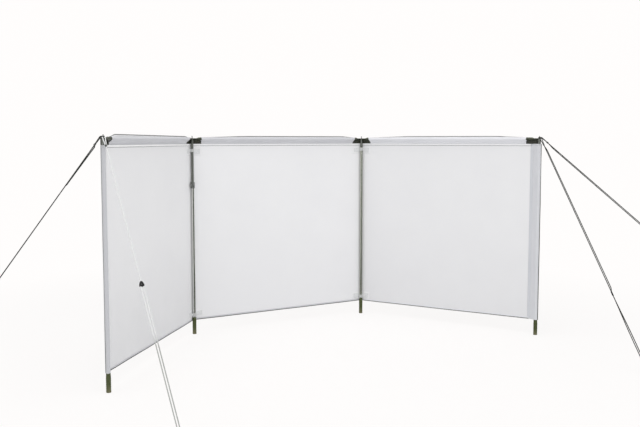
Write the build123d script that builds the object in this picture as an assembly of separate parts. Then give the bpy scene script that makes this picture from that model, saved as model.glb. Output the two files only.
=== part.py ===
"""Beach windbreak: three bays of cloth on four telescopic uprights, with rails, guy lines and pegs.

Millimetres. The origin is on the ground under upright 2, +X runs along the centre bay and +Z is up.
The uprights stand on the inside of the screen, and the cloth folds round behind uprights 2 and 3.
"""

from build123d import *
import os
from math import cos, radians, sin, tan

# Screen
bay_length = 1540.0        # axis to axis of two neighbouring uprights
screen_top = 1518.0        # top of the rail sleeves above the ground
screen_height = 1400.0     # top of the sleeves to the bottom hem
fold_at_post_2 = 48.7      # turn of the screen, degrees
fold_at_post_3 = 62.6
cloth_thickness = 1.6
hem_height = 14.0          # bound bottom edge
hem_thickness = 3.2
sleeve_depth = 51.0        # top of the sleeve to its seam
sleeve_wall = 1.2
pocket_width = 64.0        # post axis to the seam of an end pocket
pocket_wall = 1.2
corner_length_end = 100.0  # the sleeve stops this far from an end upright
corner_length_middle = 72.0
corner_slant = 10.0        # the corner is this much longer at its foot
corner_top_drop = 8.0      # top of the sleeve to the top of the corner cloth
post_standoff = 4.0        # cloth behind the thickest tube: it clears the clamp
fit_gap = 0.3              # cloth and cord beside what they touch

# Uprights
lower_tube_diameter = 24.0
lower_tube_wall = 1.2
upper_tube_diameter = 19.0
upper_tube_wall = 1.0
tube_overlap = 160.0
joint_heights = [1150.0, 1154.0, 1436.0, 1150.0]
bush_rim = 4.0
bush_spigot = 22.0
slip = 0.15                # radial clearance of one pushed piece in another

# Feet
foot_height_end = 116.0    # stops under the pocket of an end upright
foot_height_middle = 131.0
foot_diameter = 30.0
foot_neck_diameter = 27.0
foot_neck_height = 26.0
foot_floor = 8.0

# Spikes in the tops of the uprights
spike_plug = 30.0
spike_diameter = 8.0
spike_run = 13.0           # taken up by rail eyes and guy eyes, besides one eye's thickness
spike_end_diameter = 7.0
spike_end = 7.0            # free length above them
spike_nose = 2.0

# Rails
rail_diameter = 20.0
rail_wall = 1.2
eye_thickness = 2.5
eye_width = 22.0
eye_length = 30.0          # spike axis to the end of the flat
swage_length = 26.0        # flat to round
eye_clearance = 0.3

# Clamp of upright 2
clamp_height = 46.0
clamp_wall = 3.4
clamp_crown = 2.7          # chamfer round its top
clamp_turn = -22.0         # its ears look this far from -Y
clamp_ear_width = 6.0
clamp_ear_reach = 16.0
clamp_ear_height = 22.0
clamp_ear_round = 8.8
clamp_screw_reach = 10.5   # screw in front of the collar
clamp_slot = 3.0
clamp_screw_diameter = 6.0
clamp_screw_seat = 5.0     # length inside the knob and the nut
knob_diameter = 22.0
knob_thickness = 11.0
knob_lobes = 6
knob_hollow_radius = 2.9
knob_hollow_offset = 1.3
wing_span = 26.0
wing_width = 11.0
wing_thickness = 3.5
wing_angle = 60.0
wing_hub_diameter = 10.0
wing_hub_height = 7.0

# Straps that hold uprights 2 and 3 to the cloth
strap_wall = 1.2
strap_height = 38.0
strap_tail = 74.0
strap_neck_round = 3.5
top_strap_drop = 108.0     # below the top of the screen
bottom_strap_rise = 40.0   # above the bottom hem

# Guy lines: cord, eye closed by a ferrule, runner and the loop at the peg
cord_diameter = 6.0
bar_sides = 8              # cords and pegs
bend_steps = 4             # straight lengths in a cord's half turn
guy_eye_run = 14.0
guy_eye_length = 62.0
guy_ferrule_diameter = 13.0
guy_ferrule_length = 16.0
runner_length = 30.0
runner_thickness = 10.0
runner_rim = 6.8           # round its lower corners
runner_top_round = 9.0
runner_bore_depth = 9.0
runner_window = 8.0
runner_window_place = 0.52  # share of the runner's length
peg_diameter = 7.0
peg_loop_height = 16.0     # middle of the cord's loop above the ground
peg_shaft = 22.0           # above the loop
peg_hook_radius = 9.0
peg_hook_turn = 150.0
peg_tip = 6.0

# name, upright, bearing from the line of its bay, reach of the peg, place of the runner
guys = [
    ("left_outer", 0, -39.2, 1200.0, 0.62),
    ("left_inner", 0, 41.8, 1200.0, 0.505),
    ("right_inner", 3, -36.6, 1200.0, 0.69),
    ("right_outer", 3, 33.6, 1800.0, 0.62),
]

# Sizes that follow
hem_level = screen_top - screen_height
seam_level = screen_top - sleeve_depth
cloth_top = seam_level - fit_gap
rail_level = screen_top - sleeve_wall - fit_gap - rail_diameter / 2
cloth_offset = lower_tube_diameter / 2 + post_standoff + cloth_thickness / 2
strap_plane = cloth_offset - cloth_thickness / 2 - fit_gap - strap_wall / 2
strand_spacing = peg_diameter + cord_diameter + 2 * fit_gap
ring_radius = spike_diameter / 2 + fit_gap + cord_diameter / 2
clamp_radius = lower_tube_diameter / 2 + slip + clamp_wall

bay_names = ["left", "centre", "right"]
bay_angles = [fold_at_post_2, 0.0, -fold_at_post_3]
folds = [0.0, fold_at_post_2, fold_at_post_3, 0.0]
clamped_post = 1


def along(angle, length=1.0):
    """A horizontal vector of this length at this angle from +X."""
    return Vector(length * cos(radians(angle)), length * sin(radians(angle)), 0)


post_2 = Vector(0, 0, 0)
post_3 = post_2 + along(bay_angles[1], bay_length)
post_1 = post_2 - along(bay_angles[0], bay_length)
post_4 = post_3 + along(bay_angles[2], bay_length)
post_points = [post_1, post_2, post_3, post_4]


def bay_place(bay):
    """A bay's own frame: x along it from its left upright, y out through the cloth."""
    return Location(post_points[bay], (0, 0, bay_angles[bay]))


def is_end(post):
    return folds[post] == 0.0


def shoulder_level(post):
    """Where the lowest rail eye of an upright rests: the first upright carries only an upper eye."""
    if post == 0:
        return rail_level
    return rail_level - eye_thickness


def eyes_top(post):
    """Top of the rail eyes stacked on an upright."""
    if post == 3:
        return rail_level
    return rail_level + eye_thickness


def rod(start, end, diameter):
    """A round bar between two points."""
    start = Vector(start)
    run = Vector(end) - start
    return extrude(Plane(origin=start, z_dir=run) * Circle(diameter / 2), amount=run.length)


def bar_along(route, diameter):
    """A bar of few sides that follows a route, with mitred corners."""
    section = Plane(origin=route @ 0, z_dir=route % 0) * RegularPolygon(diameter / 2, bar_sides)
    return sweep(section, path=route, transition=Transition.RIGHT)


def half_turn(centre, ahead, across, radius):
    """Corners of a mitred half turn that passes ahead of a centre, from its across side to the other."""
    half_step = 90 / bend_steps
    corner_radius = radius / cos(radians(half_step))
    angles = [radians(half_step * (2 * step + 1)) for step in range(bend_steps)]
    return [centre + (across * cos(angle) + ahead * sin(angle)) * corner_radius for angle in angles]


def tube(diameter, wall, low, high):
    """An upright tube on the z axis."""
    ring = Circle(diameter / 2) - Circle(diameter / 2 - wall)
    return extrude(Pos(0, 0, low) * ring, amount=high - low)


# ---------------------------------------------------------------- uprights

def foot(post):
    """Moulded sleeve with a closed toe and a tapered neck."""
    height = foot_height_end if is_end(post) else foot_height_middle
    outer = foot_diameter / 2
    profile = Polyline(
        (0, 0),
        (outer, 0),
        (outer, height - foot_neck_height),
        (foot_neck_diameter / 2, height),
        (0, height),
        close=True,
    )
    body = revolve(Plane.XZ * make_face(profile), Axis.Z)
    socket = Cylinder(lower_tube_diameter / 2 + slip, height,
                      align=(Align.CENTER, Align.CENTER, Align.MIN))
    return body - Pos(0, 0, foot_floor) * socket


def lower_tube(post):
    return tube(lower_tube_diameter, lower_tube_wall, foot_floor, joint_heights[post])


def upper_tube(post):
    return tube(upper_tube_diameter, upper_tube_wall,
                joint_heights[post] - tube_overlap, shoulder_level(post))


def bush(post):
    """Nylon ring in the mouth of the lower tube, with a rim as wide as the tube."""
    mouth = joint_heights[post]
    bore = upper_tube_diameter / 2 + slip
    spigot = lower_tube_diameter / 2 - lower_tube_wall - slip
    rim = Circle(lower_tube_diameter / 2) - Circle(bore)
    neck = Circle(spigot) - Circle(bore)
    ring = extrude(Pos(0, 0, mouth) * rim, amount=bush_rim)
    return ring + extrude(Pos(0, 0, mouth - bush_spigot) * neck, amount=bush_spigot)


def spike(post):
    """Plug flush with the top of the tube, its spike for the rail and guy eyes, and a slimmer free end."""
    seat = shoulder_level(post)
    plug_radius = upper_tube_diameter / 2 - upper_tube_wall - slip
    radius = spike_diameter / 2
    end_radius = spike_end_diameter / 2
    shank_top = seat + eye_thickness + spike_run
    end = shank_top + spike_end
    outline = Polyline(
        (0, seat - spike_plug),
        (plug_radius, seat - spike_plug),
        (plug_radius, seat),
        (radius, seat),
        (radius, shank_top),
        (end_radius, shank_top),
        (end_radius, end),
        (end_radius - spike_nose, end + spike_nose),
        (0, end + spike_nose),
        close=True,
    )
    return revolve(Plane.XZ * make_face(outline), Axis.Z)


def clamp_body():
    """Split collar over a joint: wide bore below, narrow bore above, two ears at the front."""
    joint = joint_heights[clamped_post]
    low = joint - clamp_height / 2
    collar = extrude(Pos(0, 0, low) * Circle(clamp_radius), amount=clamp_height)
    collar = chamfer(collar.edges().group_by(Axis.Z)[-1], clamp_crown)
    ears = Box(2 * clamp_ear_width + clamp_slot, clamp_radius + clamp_ear_reach, clamp_ear_height,
               align=(Align.CENTER, Align.MAX, Align.CENTER))
    ears = fillet(ears.edges().filter_by(Axis.X).group_by(Axis.Y)[0], clamp_ear_round)
    body = collar + Pos(0, 0, joint) * ears
    from_below = (Align.CENTER, Align.CENTER, Align.MIN)
    body -= Pos(0, 0, low) * Cylinder(lower_tube_diameter / 2 + slip, clamp_height / 2, align=from_below)
    body -= Pos(0, 0, low) * Cylinder(upper_tube_diameter / 2 + slip, clamp_height, align=from_below)
    body -= Pos(0, 0, joint) * Box(clamp_slot, 2 * (clamp_radius + clamp_ear_reach), 2 * clamp_height,
                                   align=(Align.CENTER, Align.MAX, Align.CENTER))
    screw_bore = Cylinder(clamp_screw_diameter / 2 + fit_gap, 4 * clamp_ear_width, rotation=(0, 90, 0))
    return body - clamp_screw_place() * screw_bore


def clamp_screw_place():
    return Pos(0, -(clamp_radius + clamp_screw_reach), joint_heights[clamped_post])


def clamp_screw():
    """Screw through both ears: a lobed knob on its left end and a wing nut on its right."""
    half_grip = clamp_ear_width + clamp_slot / 2 + fit_gap
    shank = Cylinder(clamp_screw_diameter / 2, 2 * (half_grip + clamp_screw_seat), rotation=(0, 90, 0))
    disc = Circle(knob_diameter / 2)
    for turn in range(knob_lobes):
        hollow = Pos(knob_diameter / 2 + knob_hollow_offset, 0) * Circle(knob_hollow_radius)
        disc -= Rot(0, 0, turn * 360 / knob_lobes) * hollow
    knob = extrude(Plane.YZ * disc, amount=-knob_thickness)
    hub = Cylinder(wing_hub_diameter / 2, wing_hub_height, rotation=(0, 90, 0),
                   align=(Align.CENTER, Align.CENTER, Align.MIN))
    wing = Plane.YZ * SlotOverall(wing_span, wing_width, rotation=wing_angle)
    nut = hub + extrude(wing, amount=wing_thickness)
    screw = shank + Pos(-half_grip, 0, 0) * knob + Pos(half_grip, 0, 0) * nut
    return clamp_screw_place() * screw


# ---------------------------------------------------------------- rails

def rail_end(level, x_round):
    """Flattened eye at x = 0 and the swage that runs from it to the round tube."""
    flat_middle = level + eye_thickness / 2
    eye = Circle(eye_width / 2) + Pos(eye_length / 2, 0) * Rectangle(eye_length, eye_width)
    eye -= Circle(spike_diameter / 2 + eye_clearance)
    plate = extrude(Pos(0, 0, level) * eye, amount=eye_thickness)
    flat = Plane(origin=(eye_length, 0, flat_middle), x_dir=(0, 1, 0), z_dir=(1, 0, 0))
    round_end = Plane(origin=(x_round, 0, rail_level), x_dir=(0, 1, 0), z_dir=(1, 0, 0))
    swage = loft([flat * Rectangle(eye_width, eye_thickness), round_end * Circle(rail_diameter / 2)])
    return plate + swage


def rail():
    """Round tube between two swaged ends: its left eye lies above its right eye."""
    x_round = eye_length + swage_length
    ring = Circle(rail_diameter / 2) - Circle(rail_diameter / 2 - rail_wall)
    across = Plane(origin=(x_round, 0, rail_level), x_dir=(0, 1, 0), z_dir=(1, 0, 0))
    body = extrude(across * ring, amount=bay_length - 2 * x_round)
    left_end = rail_end(rail_level, x_round)
    right_end = Pos(bay_length, 0, 0) * Rot(0, 0, 180) * rail_end(rail_level - eye_thickness, x_round)
    return body + left_end + right_end


# ---------------------------------------------------------------- cloth

def corner_length(post):
    return corner_length_end if is_end(post) else corner_length_middle


def mitre(post, side):
    """How far the cloth's end moves along the bay for each unit outwards; side is 1 at its right end."""
    return side * tan(radians(folds[post] / 2))


def cloth_outline(left_x, right_x, half, left_slope, right_slope):
    """Plan of a flat piece of cloth whose ends follow the folds."""
    near = cloth_offset - half
    far = cloth_offset + half
    points = [
        (left_x + left_slope * near, near),
        (right_x + right_slope * near, near),
        (right_x + right_slope * far, far),
        (left_x + left_slope * far, far),
    ]
    return make_face(Polyline(*points, close=True))


def cloth_ends(bay):
    """Left and right ends of a bay's flat cloth, with the slopes of their folds."""
    left_post, right_post = bay, bay + 1
    left_x = pocket_width + fit_gap if is_end(left_post) else fit_gap / 2
    right_x = bay_length - (pocket_width + fit_gap if is_end(right_post) else fit_gap / 2)
    return left_x, right_x, mitre(left_post, -1), mitre(right_post, 1)


def panel(bay):
    """Flat cloth of a bay, with its bound bottom edge."""
    left_x, right_x, left_slope, right_slope = cloth_ends(bay)
    sheet = cloth_outline(left_x, right_x, cloth_thickness / 2, left_slope, right_slope)
    hem = cloth_outline(left_x, right_x, hem_thickness / 2, left_slope, right_slope)
    cloth = extrude(Pos(0, 0, hem_level) * sheet, amount=cloth_top - hem_level)
    return cloth + extrude(Pos(0, 0, hem_level) * hem, amount=hem_height)


def teardrop(radius, tip_radius, tip):
    """Outline drawn tight round a circle at the origin and a small one at its tip."""
    big = Circle(radius)
    small = Pos(*tip) * Circle(tip_radius)
    return make_hull(big.edges() + small.edges())


def sleeve(bay):
    """Cloth tube that hangs over the rail and closes to its seam, its ends cut on the slant."""
    outer_radius = rail_diameter / 2 + fit_gap + sleeve_wall
    tip_radius = sleeve_wall + fit_gap
    tip = (cloth_offset, seam_level + tip_radius - rail_level)
    outer = teardrop(outer_radius, tip_radius, tip)
    inner = offset(outer, -sleeve_wall)
    across = Plane(origin=(0, 0, rail_level), x_dir=(0, 1, 0), z_dir=(1, 0, 0))
    tube_of_cloth = extrude(across * (outer - inner), amount=bay_length)
    left_x = corner_length(bay)
    right_x = bay_length - corner_length(bay + 1)
    lean = corner_slant / sleeve_depth
    side = Polyline(
        (left_x + corner_slant, seam_level),
        (right_x - corner_slant, seam_level),
        (right_x + lean * outer_radius, screen_top + outer_radius),
        (left_x - lean * outer_radius, screen_top + outer_radius),
        close=True,
    )
    return tube_of_cloth & extrude(Plane.XZ * make_face(side), amount=2 * cloth_offset, both=True)


def corner_patch(post):
    """Dark stiffened cloth behind the top of an upright, from the fold to the slanted sleeve end."""
    low = seam_level
    high = screen_top - corner_top_drop
    fold_x = 0.0 if is_end(post) else fit_gap / 2
    foot_x = corner_length(post) + corner_slant - fit_gap
    top_x = foot_x - corner_slant * (high - low) / sleeve_depth
    plan = cloth_outline(fold_x, foot_x, cloth_thickness / 2, mitre(post, -1), 0)
    slab = extrude(Pos(0, 0, low) * plan, amount=high - low)
    offcut = make_face(Polyline((foot_x, low), (top_x, high), (foot_x, high), close=True))
    return slab - extrude(Plane.XZ * offcut, amount=2 * cloth_offset, both=True)


def corner_patches(bay):
    right = mirror(corner_patch(bay + 1), Plane.YZ)
    return [corner_patch(bay), Pos(bay_length, 0, 0) * right]


def pocket():
    """Upright cloth tube round an end post, drawn to the seam where the flat cloth begins."""
    outer_radius = lower_tube_diameter / 2 + fit_gap + pocket_wall
    tip_radius = pocket_wall + fit_gap
    outer = teardrop(outer_radius, tip_radius, (pocket_width - tip_radius, cloth_offset))
    inner = offset(outer, -pocket_wall)
    return extrude(Pos(0, 0, hem_level) * (outer - inner), amount=cloth_top - hem_level)


def strap(post, tube_diameter, level):
    """Webbing that passes round the front of an upright and lies along the cloth on both sides."""
    half_fold = radians(folds[post] / 2)
    wrap = tube_diameter / 2 + fit_gap + strap_wall / 2
    fold_y = strap_plane / cos(half_fold)
    neck_y = fold_y - wrap * tan(half_fold)
    tail_x = strap_tail * cos(half_fold)
    tail_y = fold_y - strap_tail * sin(half_fold)
    front_round = wrap - fit_gap / 2
    route = FilletPolyline(
        (-tail_x, tail_y), (-wrap, neck_y), (-wrap, -wrap), (wrap, -wrap), (wrap, neck_y), (tail_x, tail_y),
        radius=[strap_neck_round, front_round, front_round, strap_neck_round],
    )
    section = Plane(origin=route @ 0, z_dir=route % 0, x_dir=(0, 0, 1)) * Rectangle(strap_height, strap_wall)
    bisector = bay_angles[post] + folds[post] / 2
    return Location(post_points[post] + Vector(0, 0, level), (0, 0, bisector)) * sweep(section, path=route)


def straps(post):
    """The top and the bottom strap of a middle upright."""
    top_level = screen_top - top_strap_drop
    bottom_level = hem_level + bottom_strap_rise
    top_tube = upper_tube_diameter if joint_heights[post] < top_level else lower_tube_diameter
    return [strap(post, top_tube, top_level), strap(post, lower_tube_diameter, bottom_level)]


# ---------------------------------------------------------------- guy lines

def guy_frame(guy):
    """Points and directions that a guy line, its runner and its peg share."""
    name, post, bearing, reach, share = guy
    end_angle = bay_angles[0] + 180 if post == 0 else bay_angles[2]
    out = along(end_angle + bearing)
    across = Vector(out.Y, -out.X, 0)
    stacked = 1 if name.endswith("outer") else 0
    ring_level = eyes_top(post) + fit_gap + cord_diameter / 2 + stacked * (cord_diameter + fit_gap)
    ring = post_points[post] + Vector(0, 0, ring_level)
    bend = ring + out * guy_eye_run
    loop = post_points[post] + out * reach + Vector(0, 0, peg_loop_height)
    line = (loop - bend).normalized()
    runner_start = bend + (loop - bend) * share
    return {"ring": ring, "bend": bend, "loop": loop, "out": out, "across": across,
            "line": line, "rise": across.cross(line), "runner": runner_start}


def guy_line(guy):
    """Upper length from the eye on the spike to the runner, and the doubled length round the peg."""
    frame = guy_frame(guy)
    line, across, out = frame["line"], frame["across"], frame["out"]
    ferrule = frame["bend"] + line * guy_eye_length
    leg_side = across * ((cord_diameter + fit_gap) / 2)
    ring_side = across * ring_radius
    turn = half_turn(frame["ring"], -out, across, ring_radius)
    eye_corners = [ferrule + leg_side, frame["bend"] + ring_side, *turn,
                   frame["bend"] - ring_side, ferrule - leg_side]
    eye = bar_along(Polyline(*eye_corners), cord_diameter)
    half_ferrule = line * (guy_ferrule_length / 2)
    eye += rod(ferrule - half_ferrule, ferrule + half_ferrule, guy_ferrule_diameter)
    eye += rod(ferrule, frame["runner"] + line * (runner_bore_depth - fit_gap), cord_diameter)
    strand_end = frame["runner"] + line * (runner_length - runner_bore_depth + fit_gap)
    strand_side = across * (strand_spacing / 2)
    loop_corners = [strand_end + strand_side, *half_turn(frame["loop"], line, across, strand_spacing / 2),
                    strand_end - strand_side]
    return [eye, bar_along(Polyline(*loop_corners), cord_diameter)]


def runner(guy):
    """Moulded runner: one bore above for the line, two below for the doubled length, a window between."""
    frame = guy_frame(guy)
    top = Pos(0, runner_top_round) * Circle(runner_top_round)
    foot_y = runner_length - runner_rim
    lobes = [Pos(side * strand_spacing / 2, foot_y) * Circle(runner_rim) for side in (-1, 1)]
    outline = make_hull(top.edges() + lobes[0].edges() + lobes[1].edges())
    outline -= Pos(0, runner_window_place * runner_length) * Circle(runner_window / 2)
    body = extrude(outline, amount=runner_thickness / 2, both=True)
    bore = RegularPolygon(cord_diameter / 2 + fit_gap, bar_sides, major_radius=False)
    for x in (-strand_spacing / 2, strand_spacing / 2):
        foot_mouth = Plane(origin=(x, runner_length, 0), x_dir=(1, 0, 0), z_dir=(0, -1, 0))
        body -= extrude(foot_mouth * bore, amount=runner_bore_depth)
    top_mouth = Plane(origin=(0, 0, 0), x_dir=(1, 0, 0), z_dir=(0, 1, 0))
    body -= extrude(top_mouth * bore, amount=runner_bore_depth)
    place = Plane(origin=frame["runner"], x_dir=frame["across"], z_dir=frame["across"].cross(frame["line"]))
    return place.location * body


def peg(guy):
    """Round steel peg square to its line, hooked away from the pull and cut off at the ground."""
    frame = guy_frame(guy)
    rise, line = frame["rise"], frame["line"]
    plane = Plane(origin=frame["loop"], x_dir=line, z_dir=line.cross(rise))
    buried = 2 * peg_loop_height / rise.Z
    shaft = Line((0, -buried), (0, peg_shaft))
    hook = CenterArc((peg_hook_radius, peg_shaft), peg_hook_radius, 180, -peg_hook_turn)
    tip = Line(hook @ 1, (hook @ 1) + (hook % 1) * peg_tip)
    route = plane * Curve([shaft.edge(), hook.edge(), tip.edge()])
    return split(bar_along(Wire(route.edges()), peg_diameter), Plane.XY, keep=Keep.TOP)


# ---------------------------------------------------------------- assembly

def build():
    """Every node of the windbreak by name, each a list of solids in the row frame."""
    places = [Location(point) for point in post_points]
    nodes = {
        "post_feet": [place * foot(post) for post, place in enumerate(places)],
        "post_spikes": [place * spike(post) for post, place in enumerate(places)],
        "post_bushes": [place * bush(post) for post, place in enumerate(places) if post != clamped_post],
    }
    for post, place in enumerate(places):
        nodes[f"post_{post + 1}_lower_tube"] = [place * lower_tube(post)]
        nodes[f"post_{post + 1}_upper_tube"] = [place * upper_tube(post)]
    clamp_place = places[clamped_post] * Rot(0, 0, clamp_turn)
    nodes["post_2_clamp"] = [clamp_place * clamp_body()]
    nodes["post_2_clamp_screw"] = [clamp_place * clamp_screw()]
    for bay, name in enumerate(bay_names):
        place = bay_place(bay)
        nodes[f"top_rail_{name}"] = [place * rail()]
        nodes[f"panel_{name}"] = [place * panel(bay)]
        nodes[f"top_sleeve_{name}"] = [place * sleeve(bay)]
        nodes[f"corner_patches_{name}"] = [place * patch for patch in corner_patches(bay)]
    nodes["post_pocket_left"] = [bay_place(0) * pocket()]
    nodes["post_pocket_right"] = [bay_place(2) * Pos(bay_length, 0, 0) * mirror(pocket(), Plane.YZ)]
    nodes["post_2_straps"] = straps(1)
    nodes["post_3_straps"] = straps(2)
    for guy in guys:
        nodes[f"guy_line_{guy[0]}"] = guy_line(guy)
    for end in ("left", "right"):
        pair = [guy for guy in guys if guy[0].startswith(end)]
        nodes[f"runners_{end}"] = [runner(guy) for guy in pair]
        nodes[f"pegs_{end}"] = [peg(guy) for guy in pair]
    return nodes


def write(name, shapes):
    """One STEP file per node, holding its solids side by side."""
    solids = [solid for shape in shapes for solid in shape.solids()]
    piece = Compound(children=solids) if len(solids) > 1 else solids[0]
    piece.label = name
    export_step(piece, f"parts/{name}.step")


os.makedirs("parts", exist_ok=True)
for node_name, node_shapes in build().items():
    write(node_name, node_shapes)
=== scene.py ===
"""Looks of a beach windbreak: stretched cloth, sleeves, webbing, steel uprights, guy lines and pegs."""

from math import atan2, cos, exp, hypot, pi, radians, sin, tan

import bmesh
import bpy
from mathutils import Matrix, Vector, noise


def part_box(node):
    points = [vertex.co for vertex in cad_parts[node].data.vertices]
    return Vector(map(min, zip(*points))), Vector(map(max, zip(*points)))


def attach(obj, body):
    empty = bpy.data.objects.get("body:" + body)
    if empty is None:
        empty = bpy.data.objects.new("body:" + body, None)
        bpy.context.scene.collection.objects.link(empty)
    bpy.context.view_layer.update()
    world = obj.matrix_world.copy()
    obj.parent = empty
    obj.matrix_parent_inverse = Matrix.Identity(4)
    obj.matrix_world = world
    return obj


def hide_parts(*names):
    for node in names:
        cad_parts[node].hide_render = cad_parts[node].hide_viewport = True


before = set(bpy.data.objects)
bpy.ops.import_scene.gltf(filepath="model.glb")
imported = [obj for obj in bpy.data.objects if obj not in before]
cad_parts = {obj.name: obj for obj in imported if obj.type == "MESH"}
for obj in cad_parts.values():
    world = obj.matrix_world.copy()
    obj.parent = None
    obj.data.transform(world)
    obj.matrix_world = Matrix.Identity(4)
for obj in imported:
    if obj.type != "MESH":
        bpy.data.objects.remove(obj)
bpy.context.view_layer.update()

MM = 0.001
scene = bpy.context.scene


# ---------------------------------------------------------------- places, read from the frame

def middle(node):
    low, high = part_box(node)
    return (low + high) / 2


posts = [Vector((*middle(f"post_{number}_lower_tube").xy, 0)) for number in (1, 2, 3, 4)]
bay_names = ("left", "centre", "right")
bay_runs = [posts[bay + 1] - posts[bay] for bay in range(3)]
headings = [atan2(run.y, run.x) for run in bay_runs]
bays = [Matrix.Translation(posts[bay]) @ Matrix.Rotation(headings[bay], 4, "Z") for bay in range(3)]
bay_length = bay_runs[1].length
half_folds = [0.0, (headings[0] - headings[1]) / 2, (headings[1] - headings[2]) / 2, 0.0]
ends = (0, 3)


def bay_box(node, bay):
    """Lowest and highest corner of a node in the frame of a bay: x along it, y out through the cloth."""
    to_bay = bays[bay].inverted()
    points = [to_bay @ vertex.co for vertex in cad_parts[node].data.vertices]
    return Vector([min(values) for values in zip(*points)]), Vector([max(values) for values in zip(*points)])


def in_bay(bay, x, y, z):
    """The place of a point given in the frame of a bay."""
    return bays[bay] @ Vector((x, y, z))


panel_low, panel_high = bay_box("panel_centre", 1)
sleeve_boxes = [bay_box(f"top_sleeve_{name}", bay) for bay, name in enumerate(bay_names)]
rail_low, rail_high = bay_box("top_rail_centre", 1)
tube_low, tube_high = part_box("post_2_lower_tube")

cloth_y = (panel_low.y + panel_high.y) / 2
hem_level = panel_low.z
cloth_top = panel_high.z
seam_level = sleeve_boxes[1][0].z
screen_top = sleeve_boxes[1][1].z
rail_level = (rail_low.z + rail_high.z) / 2
rail_radius = (rail_high.z - rail_low.z) / 2
tube_radius = (tube_high.x - tube_low.x) / 2
pocket_seam = bay_box("post_pocket_left", 0)[1].x
patch_top = bay_box("corner_patches_centre", 1)[1].z

cloth_wall = 0.5 * MM
double_wall = 0.8 * MM
trim_wall = 0.5 * MM
thin_wall = 0.4 * MM
seam_allowance = 12 * MM
tuck = 8 * MM


# ---------------------------------------------------------------- colours and finishes

def shade(red, green, blue):
    """A colour of 0 to 255 steps a channel, as the shaders take it."""
    channels = [value / 255 for value in (red, green, blue)]
    return (*[c / 12.92 if c <= 0.04045 else ((c + 0.055) / 1.055) ** 2.4 for c in channels], 1.0)


def add_node(tree, kind, inputs=None, **settings):
    """A shader node with its settings; an input is a value, or a socket to link."""
    made = tree.nodes.new(kind)
    for key, value in settings.items():
        setattr(made, key, value)
    for key, value in (inputs or {}).items():
        if isinstance(value, bpy.types.NodeSocket):
            tree.links.new(value, made.inputs[key])
        else:
            made.inputs[key].default_value = value
    return made


def new_finish(name):
    material = bpy.data.materials.new(name)
    material.use_nodes = True
    tree = material.node_tree
    return material, tree, tree.nodes["Principled BSDF"]


def finished(finish, colour, normal, roughness, constants):
    """Links the three patterns of a finish to its shader and sets the shader's own numbers."""
    material, tree, shader = finish
    for socket, pattern in (("Base Color", colour), ("Normal", normal), ("Roughness", roughness)):
        tree.links.new(pattern, shader.inputs[socket])
    for socket, value in constants.items():
        shader.inputs[socket].default_value = value
    return material


def worked(tree, operation, *values):
    """One step of arithmetic on numbers or sockets."""
    return add_node(tree, "ShaderNodeMath", dict(enumerate(values)), operation=operation).outputs[0]


def ranged(tree, value, start, stop, low=0.0, high=1.0, **settings):
    """A number that runs from low to high while the value runs from start to stop."""
    inputs = {"Value": value, "From Min": start, "From Max": stop, "To Min": low, "To Max": high}
    return add_node(tree, "ShaderNodeMapRange", inputs, **settings).outputs["Result"]


def value_mix(tree, factor, low, high):
    return ranged(tree, factor, 0.0, 1.0, low, high)


def colour_mix(tree, factor, first, second):
    return add_node(tree, "ShaderNodeMix", {0: factor, 6: first, 7: second}, data_type="RGBA").outputs[2]


def mapped(tree, vector, **placing):
    return add_node(tree, "ShaderNodeMapping", {"Vector": vector, **placing}).outputs[0]


def one_way(tree, vector, axis):
    return add_node(tree, "ShaderNodeSeparateXYZ", {0: vector}).outputs[axis]


def speckle(tree, vector, scale, detail=3.0, roughness=0.55):
    inputs = {"Vector": vector, "Scale": scale, "Detail": detail, "Roughness": roughness}
    return add_node(tree, "ShaderNodeTexNoise", inputs).outputs["Fac"]


def bands(tree, vector, direction, period):
    """Rounded bands across a direction, one to each period in metres."""
    inputs = {"Vector": vector, "Scale": 2 * pi / (20 * period)}
    return add_node(tree, "ShaderNodeTexWave", inputs, wave_type="BANDS", bands_direction=direction,
                    wave_profile="SIN").outputs["Fac"]


def bump(tree, height, depth, strength=1.0, under=None):
    inputs = {"Height": height, "Distance": depth, "Strength": strength}
    if under is not None:
        inputs["Normal"] = under
    return add_node(tree, "ShaderNodeBump", inputs).outputs["Normal"]


def laid_coordinates(tree):
    """Metres along and up the cloth, from the piece's own map."""
    return add_node(tree, "ShaderNodeUVMap", uv_map="metres").outputs["UV"]


def object_coordinates(tree):
    return tree.nodes.new("ShaderNodeTexCoord").outputs["Object"]


hem_shade_reach = 0.75                       # how far the painted shade reaches above the hem
middle_from, middle_to = 16 * MM, 30 * MM    # a strap is darker within this distance of the middle of its run
lower_colour_from, lower_colour_to = 0.46, 0.52     # levels between which the pale cord turns from its lower colour to its own
braid_turns = (34, -34)
dust_reach = 0.05


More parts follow.
